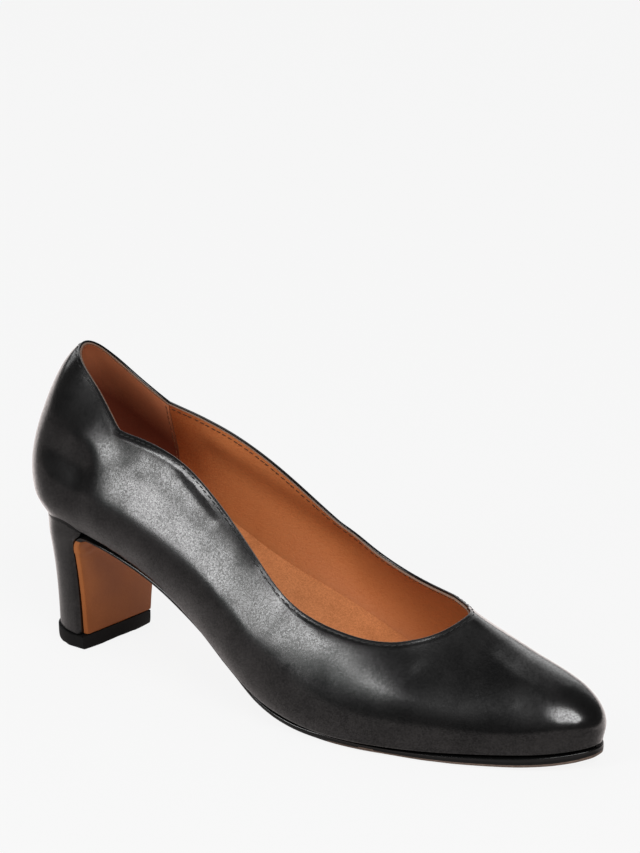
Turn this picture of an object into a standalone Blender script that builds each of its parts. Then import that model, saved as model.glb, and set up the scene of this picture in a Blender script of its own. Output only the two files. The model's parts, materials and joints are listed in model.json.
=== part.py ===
"""Right-foot court shoe with a block heel.

Units are metres with Z up and the floor at Z = 0.  X runs from heel to toe and
Y from the outer (lateral) side of the foot to the inner (medial) side.
Stations along the shoe are shares of the length, sideways places are shares of
the ball width, and heights are shares of the seat height or the back height.
"""
import math
from collections import namedtuple

import bmesh
import bpy
import numpy as np

MM = 0.001

# Driving dimensions
LENGTH = 240 * MM
BALL_WIDTH = 80 * MM
SEAT_HEIGHT = 50 * MM
BACK_HEIGHT = 112 * MM

# Leather and fits
WALL = 1.8 * MM
FIT = 0.3 * MM
FEATHER_RADIUS = 2.4 * MM
LASTING_MARGIN = 8 * MM
INSOLE = 2.6 * MM
TREAD = 3.0 * MM
WAIST_SOLE = 2.2 * MM

# Block heel
BREAST_AT = 28.8 * MM
BREAST_TURN = 0.10
BREAST_LEAN = 1.5 * MM
BREAST_FILLET = 9 * MM
HEEL_BACK_AT = 8.8 * MM
HEEL_BACK_TOP = 5.4 * MM
HEEL_HALF_WIDTH = 18.2 * MM
HEEL_HALF_TOP = 25 * MM
HEEL_ASIDE = -1.8 * MM
HEEL_ROUNDNESS = 2.15
BACK_POINTS = 25
BREAST_POINTS = 7
FLAP_INSET = 0.5 * MM
TOP_PIECE = 5 * MM
TOP_PIECE_EDGE = 0.5 * MM

# Mesh density and the rows, counted in sections from the heel back, where plates are cut
COLUMNS_PER_SECTION = 3
WALL_ROWS = 11
SOLE_ACROSS = 8
INSOLE_ROWS = np.concatenate([[0.12, 0.35, 0.75], np.arange(1.25, 13.3, 0.5), [13.6, 13.85]])
FILLER_ROWS = (2.2, 11.3)
SOLE_ROWS = np.concatenate([[13.9, 13.7], np.arange(13.4, 2.7, -0.4)])
SOLE_THINS = (6, 8)
FILLET_TURNS = np.radians(np.linspace(76, 0, 6))

# Feather line, where the upper turns under, from the heel back to the toe tip
Section = namedtuple("Section", "name at lateral medial lateral_rise medial_rise sole_edge")
SECTIONS = [
    Section("back", 0.021, 0.000, 0.000, 0.990, 0.990, -1.0),
    Section("back_corner", 0.040, -0.168, 0.166, 0.988, 0.988, -1.0),
    Section("seat", 0.100, -0.276, 0.272, 0.980, 0.984, -1.0),
    Section("notch", 0.188, -0.322, 0.312, 0.914, 0.940, -2.0),
    Section("quarter", 0.271, -0.337, 0.288, 0.780, 0.870, -3.0),
    Section("waist", 0.358, -0.362, 0.270, 0.550, 0.700, -3.4),
    Section("arch", 0.433, -0.406, 0.294, 0.322, 0.550, -3.2),
    Section("joint_rear", 0.500, -0.450, 0.344, 0.156, 0.390, -2.8),
    Section("joint", 0.558, -0.474, 0.391, 0.088, 0.225, -2.4),
    Section("ball", 0.625, -0.482, 0.437, 0.064, 0.088, -2.0),
    Section("tread", 0.700, -0.450, 0.458, 0.062, 0.062, -1.2),
    Section("toe_base", 0.779, -0.376, 0.436, 0.065, 0.065, -0.2),
    Section("toe", 0.863, -0.276, 0.366, 0.086, 0.086, 0.2),
    Section("toe_side", 0.940, -0.156, 0.196, 0.120, 0.120, 0.2),
    Section("tip", 0.986, 0.006, 0.006, 0.160, 0.160, -0.2),
]

# Topline on both sides, against the same sections
Top = namedtuple("Top", "lateral_at lateral lateral_height medial_at medial medial_height")
TOPLINE = [
    Top(0.079, 0.000, 1.000, 0.079, 0.000, 1.000),
    Top(0.092, -0.106, 0.985, 0.091, 0.094, 0.963),
    Top(0.140, -0.181, 0.913, 0.125, 0.172, 0.880),
    Top(0.204, -0.262, 0.799, 0.175, 0.238, 0.786),
    Top(0.279, -0.300, 0.784, 0.265, 0.275, 0.731),
    Top(0.350, -0.319, 0.730, 0.346, 0.300, 0.652),
    Top(0.421, -0.337, 0.622, 0.421, 0.322, 0.554),
    Top(0.488, -0.350, 0.491, 0.492, 0.337, 0.460),
    Top(0.554, -0.350, 0.380, 0.558, 0.333, 0.397),
    Top(0.621, -0.331, 0.336, 0.617, 0.306, 0.369),
    Top(0.681, -0.285, 0.323, 0.667, 0.250, 0.370),
    Top(0.727, -0.210, 0.344, 0.706, 0.190, 0.379),
    Top(0.752, -0.137, 0.366, 0.740, 0.125, 0.390),
    Top(0.766, -0.069, 0.391, 0.759, 0.066, 0.401),
    Top(0.770, 0.000, 0.406, 0.770, 0.000, 0.406),
]
NOTCH_ROW = 3

# How the wall leaves the feather line and meets the topline, in degrees and millimetres
Wall = namedtuple("Wall", "low_lean low_reach top_lean top_reach")
WALLS = [
    Wall(41, 18, 46, 19),
    Wall(40, 18, 38, 17),
    Wall(34, 17, 22, 15),
    Wall(26, 16, 12, 14),
    Wall(24, 15, 10, 14),
    Wall(24, 14, 10, 16),
    Wall(24, 13, 12, 16),
    Wall(23, 12, 20, 14),
    Wall(22, 11, 38, 12),
    Wall(20, 11, 50, 13),
    Wall(19, 11, 50, 13),
    Wall(19, 12, 45, 13),
    Wall(22, 13, 46, 15),
    Wall(25, 15, 50, 20),
    Wall(28, 16, 62, 28),
]


def clear_file():
    """Remove everything that a new Blender file holds."""
    for item in list(bpy.data.objects):
        bpy.data.objects.remove(item, do_unlink=True)


def curve_through(points, closed=False):
    """Return a smooth curve through the points, read by row number."""
    p = np.asarray(points, dtype=float)
    if closed:
        p = np.vstack([p, p[:1]])
    h = np.linalg.norm(np.diff(p, axis=0), axis=1)
    count = len(p)
    system = np.zeros((count, count))
    slope = np.diff(p, axis=0) / h[:, None]
    right = np.zeros_like(p)
    for i in range(1, count - 1):
        system[i, i - 1:i + 2] = h[i - 1], 2 * (h[i - 1] + h[i]), h[i]
        right[i] = 6 * (slope[i] - slope[i - 1])
    if closed:
        system[0, 0], system[0, -1] = 1, -1
        system[-1, 0], system[-1, 1], system[-1, -2] = 2 * (h[0] + h[-1]), h[0], h[-1]
        right[-1] = 6 * (slope[0] - slope[-1])
    else:
        system[0, 0] = system[-1, -1] = 1
    bend = np.linalg.solve(system, right)

    def at(rows):
        rows = np.atleast_1d(np.asarray(rows, dtype=float))
        if closed:
            rows = rows % (count - 1)
        i = np.clip(rows.astype(int), 0, count - 2)
        step = h[i][:, None]
        u = (rows - i)[:, None]
        w = 1 - u
        straight = w * p[i] + u * p[i + 1]
        return straight + step ** 2 / 6 * ((w ** 3 - w) * bend[i] + (u ** 3 - u) * bend[i + 1])

    return at


def loop_rows(lateral, medial):
    """Join the lateral rows, heel to toe, with the medial rows, toe to heel."""
    return lateral + medial[-2:0:-1]


TIP_ROW = len(SECTIONS) - 1
LOOP = 2 * TIP_ROW

feather_curve = curve_through(loop_rows(
    [(s.at * LENGTH, s.lateral * BALL_WIDTH, s.lateral_rise * SEAT_HEIGHT) for s in SECTIONS],
    [(s.at * LENGTH, s.medial * BALL_WIDTH, s.medial_rise * SEAT_HEIGHT) for s in SECTIONS],
), closed=True)

top_points = loop_rows(
    [(t.lateral_at * LENGTH, t.lateral * BALL_WIDTH, t.lateral_height * BACK_HEIGHT) for t in TOPLINE],
    [(t.medial_at * LENGTH, t.medial * BALL_WIDTH, t.medial_height * BACK_HEIGHT) for t in TOPLINE],
)
MEDIAL_NOTCH = LOOP - NOTCH_ROW
front_top = curve_through(top_points[NOTCH_ROW:MEDIAL_NOTCH + 1])
back_top = curve_through(top_points[MEDIAL_NOTCH:] + top_points[:NOTCH_ROW + 1])


def topline(rows):
    """Points of the topline; it has a corner at the notch on each side."""
    rows = np.asarray(rows, dtype=float) % LOOP
    front = (rows >= NOTCH_ROW) & (rows <= MEDIAL_NOTCH)
    points = back_top((rows - MEDIAL_NOTCH) % LOOP * ~front)
    points[front] = front_top(rows[front] - NOTCH_ROW)
    return points


def outward(points):
    """Level unit directions that point out of a closed loop."""
    along = np.roll(points, -1, axis=0) - np.roll(points, 1, axis=0)
    out = np.stack([along[:, 1], -along[:, 0], 0 * along[:, 0]], axis=1)
    middle = points.mean(axis=0)
    if np.sum(out * (points - middle)) < 0:
        out = -out
    return out / np.linalg.norm(out, axis=1)[:, None]


FINE_STEPS = 40
FINE = np.arange(0, LOOP, 1 / FINE_STEPS)
fine_feather = feather_curve(FINE)
fine_out = outward(fine_feather)


def feather_at(rows):
    """Feather points and their outward directions at the given rows of the loop."""
    rows = np.asarray(rows, dtype=float) % LOOP
    place = np.rint(rows * FINE_STEPS).astype(int) % len(FINE)
    return fine_feather[place], fine_out[place]


lateral_half = fine_feather[FINE <= TIP_ROW]
medial_half = fine_feather[(FINE >= TIP_ROW)][::-1]


def bottom_height(x, y):
    """Height of the bottom of the lasted upper, twisted between its two feather lines."""
    side_l = np.interp(x, lateral_half[:, 0], lateral_half[:, 1])
    side_m = np.interp(x, medial_half[:, 0], medial_half[:, 1])
    rise_l = np.interp(x, lateral_half[:, 0], lateral_half[:, 2])
    rise_m = np.interp(x, medial_half[:, 0], medial_half[:, 2])
    share = np.clip((y - side_l) / np.maximum(side_m - side_l, 4 * MM), 0, 1)
    return rise_l + (rise_m - rise_l) * share


def beside_bottom(x, y, lift):
    """Height of a sheet that runs beside the bottom, lifted square to its slope."""
    along = (bottom_height(x + MM, y) - bottom_height(x - MM, y)) / (2 * MM)
    across = (bottom_height(x, y + MM) - bottom_height(x, y - MM)) / (2 * MM)
    return bottom_height(x, y) + lift * np.sqrt(1 + along ** 2 + across ** 2)


def make_material(name, colour, roughness):
    """Principled material with one base colour."""
    material = bpy.data.materials.new(name)
    material.use_nodes = True
    shader = material.node_tree.nodes["Principled BSDF"]
    shader.inputs["Base Color"].default_value = (*colour, 1)
    shader.inputs["Roughness"].default_value = roughness
    material.diffuse_color = (*colour, 1)
    return material


def mesh_object(name, verts, faces, material, collection):
    """Named object in the collection, with outward faces and its own material."""
    mesh = bpy.data.meshes.new(name)
    mesh.from_pydata([tuple(v) for v in verts], [], faces)
    work = bmesh.new()
    work.from_mesh(mesh)
    bmesh.ops.recalc_face_normals(work, faces=work.faces)
    work.to_mesh(mesh)
    work.free()
    mesh.materials.append(material)
    item = bpy.data.objects.new(name, mesh)
    collection.objects.link(item)
    return item


def ring_faces(rings, count):
    """Quads between following rings of the same number of points."""
    faces = []
    for r in range(rings - 1):
        for c in range(count):
            n = (c + 1) % count
            faces.append((r * count + c, r * count + n, (r + 1) * count + n, (r + 1) * count + c))
    return faces


def loft(name, rings, material, collection):
    """Solid through closed rings, with a face on the first and the last ring."""
    count = len(rings[0])
    verts = np.vstack(rings)
    faces = ring_faces(len(rings), count)
    faces.append(tuple(range(count)))
    last = (len(rings) - 1) * count
    faces.append(tuple(range(last, last + count)))
    return mesh_object(name, verts, faces, material, collection)


def make_upper(material, collection):
    """Outer skin of the upper as columns round the shoe, thickened inwards."""
    rows = np.arange(0, LOOP, 1 / COLUMNS_PER_SECTION)
    feather, out = feather_at(rows)
    top = topline(rows)
    top_out = outward(top)
    wall = curve_through(loop_rows(WALLS, WALLS), closed=True)(rows)
    low_lean, top_lean = np.radians(wall[:, 0:1]), np.radians(wall[:, 2:3])
    low_reach, top_reach = wall[:, 1:2] * MM, wall[:, 3:4] * MM
    up = np.array([0, 0, 1])

    rings = []
    for inset in (LASTING_MARGIN, FEATHER_RADIUS):
        turned = feather - out * inset
        turned[:, 2] = bottom_height(turned[:, 0], turned[:, 1])
        rings.append(turned)
    corner = FEATHER_RADIUS * (1 - math.sqrt(0.5))
    rings.append(feather - out * corner + up * corner)

    start = feather + up * FEATHER_RADIUS
    low = start + low_reach * (np.sin(low_lean) * out + np.cos(low_lean) * up)
    high = top + top_reach * (np.sin(top_lean) * top_out - np.cos(top_lean) * up)
    for t in np.linspace(0, 1, WALL_ROWS + 1):
        k = 1 - t
        rings.append(k ** 3 * start + 3 * k * k * t * low + 3 * k * t * t * high + t ** 3 * top)

    faces = ring_faces(len(rings), len(rows))
    upper = mesh_object("upper", np.vstack(rings), faces, material, collection)
    shell = upper.modifiers.new("leather wall", "SOLIDIFY")
    shell.thickness = WALL
    shell.offset = -1
    shell.use_even_offset = True
    shell.use_quality_normals = True
    return upper


def plate_ring(lateral, medial, shares, top, bottom, flare=0.0):
    """Closed section of a plate between two edge points, top face then bottom face."""
    width = np.linalg.norm(medial - lateral)
    across = lateral + (medial - lateral) * shares[:, None]
    wide = across + ((shares - 0.5) * 2 * flare / width)[:, None] * (medial - lateral)
    upper_face = np.column_stack([wide, top(wide[:, 0], wide[:, 1])])
    lower_face = np.column_stack([across, bottom(across[:, 0], across[:, 1])])
    return np.vstack([upper_face, lower_face[::-1]])


def edge_pair(row, overhang):
    """Plan points on the two sides of the shoe at one row, moved out by the overhang."""
    points, out = feather_at([row, LOOP - row])
    return (points + out * overhang)[:, :2]


def make_insole(material, collection):
    """Insole on the turned-in margin of the upper, with its filler reaching down between."""
    edge = FEATHER_RADIUS + 3 * FIT
    low = WALL + 1.5 * FIT
    rings = []
    for row in INSOLE_ROWS:
        lateral, medial = edge_pair(row, -edge)
        width = np.linalg.norm(medial - lateral)
        margin = min((LASTING_MARGIN - edge + 2 * FIT) / width, 0.30)
        slope = min(margin + 2 * MM / width, 0.36)
        half = np.array([0, margin, slope, 0.42])
        shares = np.concatenate([half, [0.5], 1 - half[::-1]])
        filled = FILLER_ROWS[0] <= row <= FILLER_ROWS[1]
        drop = WALL * filled * (np.minimum(shares, 1 - shares) >= slope - 1e-6)
        rings.append(plate_ring(
            lateral, medial, shares,
            lambda x, y: beside_bottom(x, y, low + INSOLE),
            lambda x, y: beside_bottom(x, y, low - drop),
            flare=1.2 * MM,
        ))
    return loft("insole", rings, material, collection)


def make_outsole(material, collection):
    """Leather sole from the toe to the waist, bent down the heel breast as a flap."""
    shares = np.linspace(0, 1, SOLE_ACROSS + 1)
    numbers = np.arange(len(SECTIONS))
    rings = []
    for row in SOLE_ROWS:
        overhang = np.interp(row, numbers, [s.sole_edge for s in SECTIONS]) * MM
        thick = np.interp(row, SOLE_THINS, [WAIST_SOLE, TREAD])
        lateral, medial = edge_pair(row, overhang)
        rings.append(plate_ring(
            lateral, medial, shares,
            lambda x, y: beside_bottom(x, y, -FIT),
            lambda x, y: np.maximum(beside_bottom(x, y, -FIT - thick), 0),
        ))

    side = heel_side(2 * shares - 1, SEAT_HEIGHT, FLAP_INSET)
    start = fillet_start(side)
    for turn in FILLET_TURNS:
        faces = []
        for radius in (BREAST_FILLET - FIT, BREAST_FILLET - FIT - WAIST_SOLE):
            z = start + radius * math.sin(turn)
            x = breast_path(start, side) + BREAST_FILLET - radius * math.cos(turn)
            faces.append(flap_line(shares, x, z))
        rings.append(np.vstack([faces[0], faces[1][::-1]]))
    for share in np.linspace(0, 1, 6)[1:]:
        z = start + (TOP_PIECE + FIT - start) * share
        x = breast_path(z, side) + FIT
        rings.append(np.vstack([flap_line(shares, x, z), flap_line(shares, x + WAIST_SOLE, z)[::-1]]))
    return loft("outsole", rings, material, collection)


def flap_line(shares, x, z):
    """Line of points across the turned heel breast, kept inside the edges of the heel."""
    side = heel_side(2 * shares - 1, z, FLAP_INSET)
    return np.column_stack([x + BREAST_TURN * side, side, z])


def fillet_start(y):
    """Height where the heel breast begins to sweep forward into the waist."""
    return bottom_height(BREAST_AT + BREAST_TURN * y + BREAST_FILLET, y) - FIT - BREAST_FILLET


def breast_path(z, y):
    """Station of the heel breast at a height, before its turn; it sweeps forward under the seat."""
    start = fillet_start(y)
    lean = BREAST_LEAN * np.minimum(z, start) / SEAT_HEIGHT
    rise = np.clip((z - start) / BREAST_FILLET, 0, math.sin(FILLET_TURNS[0]))
    return BREAST_AT + lean + BREAST_FILLET * (1 - np.sqrt(1 - rise ** 2))


def heel_side(across, z, inset=0.0):
    """Sideways place on the heel, -1 to 1 across; it flares under the seat and stands to the outside."""
    share = np.clip(z / SEAT_HEIGHT, 0, 1)
    half = HEEL_HALF_WIDTH + (HEEL_HALF_TOP - HEEL_HALF_WIDTH) * (0.35 * share + 0.65 * share ** 3)
    return across * (half - inset) + HEEL_ASIDE * (1 - share)


def heel_ring(heights):
    """D-shaped outline of the heel, each point at its own height."""
    back = np.linspace(-math.pi / 2, math.pi / 2, BACK_POINTS)
    z = heights
    share = np.clip(z / SEAT_HEIGHT, 0, 1)
    back_at = HEEL_BACK_AT + (HEEL_BACK_TOP - HEEL_BACK_AT) * share ** 3
    power = 2 / HEEL_ROUNDNESS
    deep = np.concatenate([np.abs(np.cos(back)) ** power, np.zeros(BREAST_POINTS)])
    wide = np.concatenate([
        np.sign(np.sin(back)) * np.abs(np.sin(back)) ** power,
        np.linspace(1, -1, BREAST_POINTS + 2)[1:-1],
    ])
    side = heel_side(wide, z)
    front_at = breast_path(z, side) + BREAST_TURN * side
    return np.column_stack([front_at - (front_at - back_at) * deep, side, z])


def make_heel(material, collection):
    """Covered block heel from the top piece up to the seat of the upper."""
    low = TOP_PIECE + FIT
    high = np.full(BACK_POINTS + BREAST_POINTS, SEAT_HEIGHT * 0.9)
    for _ in range(30):
        ring = heel_ring(high)
        high = 0.5 * high + 0.5 * (bottom_height(ring[:, 0], ring[:, 1]) - FIT)
    start = fillet_start(ring[:, 1])
    rings = [heel_ring(low + (start - low) * share) for share in np.linspace(0, 1, 6)]
    for turn in FILLET_TURNS[-2::-1]:
        rings.append(heel_ring(start + (high - start) * math.sin(turn) / math.sin(FILLET_TURNS[0])))
    top = rings[-1]
    middle = np.array([0.5 * (HEEL_BACK_TOP + BREAST_AT), 0])
    for share in (0.6, 0.25):
        plan = middle + (top[:, :2] - middle) * share
        rings.append(np.column_stack([plan, bottom_height(plan[:, 0], plan[:, 1]) - FIT]))
    return loft("heel", rings, material, collection)


def make_top_piece(material, collection):
    """Rubber lift with a slightly rounded ground edge."""
    level = np.ones(BACK_POINTS + BREAST_POINTS)
    outline = heel_ring(TOP_PIECE * level)[:, :2]
    front = outline[:, 0] > BREAST_AT + BREAST_TURN * outline[:, 1] - MM
    outline[:, 0] += (FIT + WAIST_SOLE) * front
    middle = np.array([0.5 * (HEEL_BACK_AT + BREAST_AT), 0])
    away = outline - middle
    ground = outline - TOP_PIECE_EDGE * away / np.linalg.norm(away, axis=1)[:, None]
    rings = [
        np.column_stack([ground, 0 * level]),
        np.column_stack([outline, TOP_PIECE_EDGE * level]),
        np.column_stack([outline, TOP_PIECE * level]),
    ]
    return loft("top_piece", rings, material, collection)


def stand_on_origin(collection):
    """Hang the pieces on an empty that puts the middle of the footprint over the origin."""
    graph = bpy.context.evaluated_depsgraph_get()
    corners = np.array([c for item in collection.objects for c in item.evaluated_get(graph).bound_box])
    middle = (corners.min(axis=0) + corners.max(axis=0)) / 2
    pieces = list(collection.objects)
    root = bpy.data.objects.new("shoe root", None)
    collection.objects.link(root)
    root.location = (-middle[0], -middle[1], 0)
    for piece in pieces:
        piece.parent = root


clear_file()
shoe = bpy.data.collections.new("high heel shoe")
bpy.context.scene.collection.children.link(shoe)
make_upper(make_material("black leather", (0.012, 0.012, 0.013), 0.4), shoe)
make_insole(make_material("tan sock", (0.46, 0.17, 0.06), 0.6), shoe)
make_outsole(make_material("tan sole leather", (0.40, 0.17, 0.07), 0.5), shoe)
make_heel(make_material("black heel cover", (0.012, 0.012, 0.013), 0.35), shoe)
make_top_piece(make_material("black rubber", (0.02, 0.02, 0.02), 0.6), shoe)
stand_on_origin(shoe)
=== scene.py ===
# %% [markdown]
# # A black court shoe on a block heel
# This is a right-foot pump: a black leather upper pulled over a last, a tan lining with a suede
# heel grip, a tan sock, a thin leather sole whose end runs down the heel breast as a flap, a
# leather-covered block heel and a rubber top piece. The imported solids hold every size. The lesson
# copies each solid, turns it back into clean quads, refines it as a maker would and gives it a finish.

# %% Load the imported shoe
import json
import math
from collections import namedtuple

import bmesh
import bpy
import numpy as np
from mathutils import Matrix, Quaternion, Vector

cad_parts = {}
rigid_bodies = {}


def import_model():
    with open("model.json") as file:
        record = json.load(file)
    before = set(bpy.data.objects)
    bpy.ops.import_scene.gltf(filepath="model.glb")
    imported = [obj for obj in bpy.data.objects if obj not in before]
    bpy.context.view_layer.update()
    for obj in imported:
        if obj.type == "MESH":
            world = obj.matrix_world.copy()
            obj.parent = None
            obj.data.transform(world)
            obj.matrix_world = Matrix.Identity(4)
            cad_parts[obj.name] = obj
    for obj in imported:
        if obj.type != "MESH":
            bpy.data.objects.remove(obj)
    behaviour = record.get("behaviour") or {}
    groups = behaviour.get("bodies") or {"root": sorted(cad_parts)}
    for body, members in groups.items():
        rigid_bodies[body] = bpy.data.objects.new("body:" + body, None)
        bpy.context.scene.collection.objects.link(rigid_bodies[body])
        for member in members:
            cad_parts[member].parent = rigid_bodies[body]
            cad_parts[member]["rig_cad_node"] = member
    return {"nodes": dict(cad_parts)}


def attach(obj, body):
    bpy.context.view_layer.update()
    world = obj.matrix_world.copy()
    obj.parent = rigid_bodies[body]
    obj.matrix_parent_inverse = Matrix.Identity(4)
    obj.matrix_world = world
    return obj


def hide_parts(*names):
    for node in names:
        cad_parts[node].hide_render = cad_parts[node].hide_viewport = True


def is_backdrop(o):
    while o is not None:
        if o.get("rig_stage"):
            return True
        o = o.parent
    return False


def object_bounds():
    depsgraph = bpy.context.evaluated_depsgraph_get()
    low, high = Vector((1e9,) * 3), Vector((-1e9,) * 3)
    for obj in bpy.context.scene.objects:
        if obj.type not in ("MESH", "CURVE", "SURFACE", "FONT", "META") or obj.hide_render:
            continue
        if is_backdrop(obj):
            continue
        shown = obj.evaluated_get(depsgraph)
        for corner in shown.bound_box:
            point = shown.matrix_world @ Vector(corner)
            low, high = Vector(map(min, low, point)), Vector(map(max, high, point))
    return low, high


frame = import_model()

MM = 0.001
cad_low, cad_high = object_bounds()
print("solids:", ", ".join(sorted(frame["nodes"])))
print("box in mm:", [round(side / MM, 1) for side in cad_high - cad_low])

# %% [markdown]
# ## Camera
# The photograph is taken from in front of the outer side, a little above the shoe, with a long
# lens. A camera can be aimed with a constraint, but a fixed place and turn are easier to read:
# the turn about X tips the view down and the turn about Z walks it round to the toe.

# %% Camera
VIEW_AZIMUTH = math.radians(35)
VIEW_ELEVATION = math.radians(19)
VIEW_DISTANCE = 1250 * MM
LOOK_AT = Vector((-14.5, 26.2, 88.9)) * MM
FOCAL_LENGTH = 148.4
SENSOR = 36


def toward(azimuth, elevation):
    """Unit vector from the shoe to a place round it; azimuth 0 is its outer side, 90 its toe."""
    level = math.cos(elevation)
    return Vector((math.sin(azimuth) * level, -math.cos(azimuth) * level, math.sin(elevation)))


bpy.ops.object.select_all(action="DESELECT")
bpy.ops.object.camera_add(
    location=LOOK_AT + VIEW_DISTANCE * toward(VIEW_AZIMUTH, VIEW_ELEVATION),
    rotation=(math.radians(90) - VIEW_ELEVATION, 0, VIEW_AZIMUTH),
)
camera = bpy.context.active_object
camera.name = "photo camera"
camera.data.lens = FOCAL_LENGTH
camera.data.sensor_width = SENSOR
bpy.context.scene.camera = camera
bpy.context.scene.view_settings.view_transform = "Standard"
print("camera at", [round(c, 3) for c in camera.location])

# %% [markdown]
# ## Studio light
# Black leather shows its shape only through what it reflects, so the lights are placed by their
# reflections. A leaning strip to the left makes the long highlight on the quarter, and a round panel
# over the toe makes the small bright spot there. Two pale sheets behind the shoe, one inside the other,
# give the far side of the vamp a soft edge, and a dim fill lights the back of the heel. Each is given
# as angles seen from the shoe, which is how a reflection is read.

# %% Softboxes
MIDDLE = Vector((0, 0, 45 * MM))
PANEL_DISTANCE = 1.5
Panel = namedtuple("Panel", "name shape azimuth elevation roll wide tall brightness")
PANELS = [
    Panel("tall strip", "RECTANGLE", -21.5, 26.8, -34.7, 12.6, 46, 10.2),
    Panel("toe panel", "ELLIPSE", 55, 44, 13, 40, 29, 6.4),
    Panel("paper behind", "RECTANGLE", 201, 51, -11, 24, 88, 0.55),
    Panel("paper beyond", "RECTANGLE", 203, 48, -14, 45, 90, 0.45),
    Panel("heel fill", "RECTANGLE", 258, 30, 0, 40, 36, 1.2),
]


def place_panel(panel):
    """Flat light that fills the panel's angles, turned to face the shoe and rolled."""
    out = toward(math.radians(panel.azimuth), math.radians(panel.elevation))
    turn = out.to_track_quat("Z", "Y") @ Quaternion((0, 0, 1), math.radians(panel.roll))
    bpy.ops.object.light_add(type="AREA", location=MIDDLE + PANEL_DISTANCE * out, rotation=turn.to_euler())
    lamp = bpy.context.active_object
    lamp.name = panel.name
    lamp.data.shape = panel.shape
    lamp.data.size = 2 * PANEL_DISTANCE * math.tan(math.radians(panel.wide / 2))
    lamp.data.size_y = 2 * PANEL_DISTANCE * math.tan(math.radians(panel.tall / 2))
    lamp.data.energy = 4 * panel.brightness * lamp.data.size * lamp.data.size_y
    lamp.visible_camera = False


for panel in PANELS:
    place_panel(panel)
print("softboxes:", len(PANELS))

# %% [markdown]
# ## Node helpers
# Materials are built from nodes. Four small helpers keep that readable: one adds a node, one feeds
# its inputs by name, one does a sum with two values and one maps a value to a new range.


# %% Node helpers
def add(tree, kind, **settings):
    """New node with its plain settings."""
    node = tree.nodes.new(kind)
    for key, value in settings.items():
        setattr(node, key, value)
    return node


def feed(tree, node, **sources):
    """Fill inputs by name: an output socket is linked, anything else is the value."""
    for key, source in sources.items():
        socket = node.inputs[key.replace("_", " ")]
        if isinstance(source, bpy.types.NodeSocket):
            tree.links.new(source, socket)
        else:
            socket.default_value = source
    return node


def calc(tree, operation, first, second):
    """Result socket of a math node."""
    node = add(tree, "ShaderNodeMath", operation=operation)
    for socket, source in zip(node.inputs, (first, second)):
        if isinstance(source, bpy.types.NodeSocket):
            tree.links.new(source, socket)
        else:
            socket.default_value = source
    return node.outputs[0]


def remap(tree, value, low, high, new_low, new_high):
    """Result socket of a clamped map from one range to another."""
    node = add(tree, "ShaderNodeMapRange")
    feed(tree, node, Value=value, From_Min=low, From_Max=high, To_Min=new_low, To_Max=new_high)
    return node.outputs["Result"]


print("node helpers:", [helper.__name__ for helper in (add, feed, calc, remap)])

# %% [markdown]
# ## Floor and room
# The shoe stands on plain pale paper that fills the picture. Paper that is only lit would fall off
# in brightness, so this one glows a little and takes just a soft shadow. Black leather mirrors the
# paper too, so its glow in a reflection is set apart from what the lens sees: brighter behind the shoe,
# dimmer beside the heel. The room is dim, which keeps the leather black.

# %% Floor and room
PAPER = 0.93
PAPER_GLOW = 0.882
PAPER_TAKES = 0.04
PAPER_IN_GLOSS = (0.45, 0.41, 0.40)
PAPER_BEHIND = (0, 50 * MM)
BEHIND_GAIN = 3
PAPER_BESIDE = (-240 * MM, -60 * MM)
BESIDE_LOSS = 0.6
PAPER_BEFORE = (-40 * MM, 0)
ROOM = 0.07
FLOOR_SIZE = 12
FLOOR_DROP = 0.2 * MM


def paper_material():
    """Pale paper: a glow, another in reflections, and a little plain diffuse that shows the shadow."""
    material = bpy.data.materials.new("pale paper")
    material.use_nodes = True
    tree = material.node_tree
    tree.nodes.clear()
    rays = add(tree, "ShaderNodeLightPath")
    tint = add(tree, "ShaderNodeValToRGB")
    tint.color_ramp.elements[0].color = (*PAPER_IN_GLOSS, 1)
    tint.color_ramp.elements[1].color = (PAPER_GLOW, PAPER_GLOW, PAPER_GLOW, 1)
    tree.links.new(rays.outputs["Is Camera Ray"], tint.inputs["Fac"])
    spot = add(tree, "ShaderNodeSeparateXYZ")
    tree.links.new(add(tree, "ShaderNodeTexCoord").outputs["Object"], spot.inputs[0])
    behind = remap(tree, spot.outputs["Y"], *PAPER_BEHIND, 1, BEHIND_GAIN)
    beside = remap(tree, spot.outputs["X"], *PAPER_BESIDE, BESIDE_LOSS, 1)
    beside = calc(tree, "MAXIMUM", beside, remap(tree, spot.outputs["Y"], *PAPER_BEFORE, 0, 1))
    mirrored = calc(tree, "MULTIPLY", behind, beside)
    strength = remap(tree, rays.outputs["Is Camera Ray"], 0, 1, mirrored, 1)
    glow = feed(tree, add(tree, "ShaderNodeEmission"), Color=tint.outputs["Color"], Strength=strength)
    matt = feed(tree, add(tree, "ShaderNodeBsdfDiffuse"), Color=(PAPER_TAKES,) * 3 + (1,))
    both = add(tree, "ShaderNodeAddShader")
    tree.links.new(glow.outputs[0], both.inputs[0])
    tree.links.new(matt.outputs[0], both.inputs[1])
    tree.links.new(both.outputs[0], add(tree, "ShaderNodeOutputMaterial").inputs["Surface"])
    return material


bpy.ops.object.select_all(action="DESELECT")
bpy.ops.mesh.primitive_plane_add(size=FLOOR_SIZE, location=(0, 0, -FLOOR_DROP))
floor = bpy.context.active_object
floor.name = "paper_floor"
floor.data.materials.append(paper_material())
floor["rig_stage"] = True

room = bpy.data.worlds.new("dim room")
bpy.context.scene.world = room
room.use_nodes = True
tree = room.node_tree
rays = add(tree, "ShaderNodeLightPath")
strength = remap(tree, rays.outputs["Is Camera Ray"], 0, 1, ROOM, PAPER)
feed(tree, tree.nodes["Background"], Color=(1, 1, 1, 1), Strength=strength)
print("floor and room are set")

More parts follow.
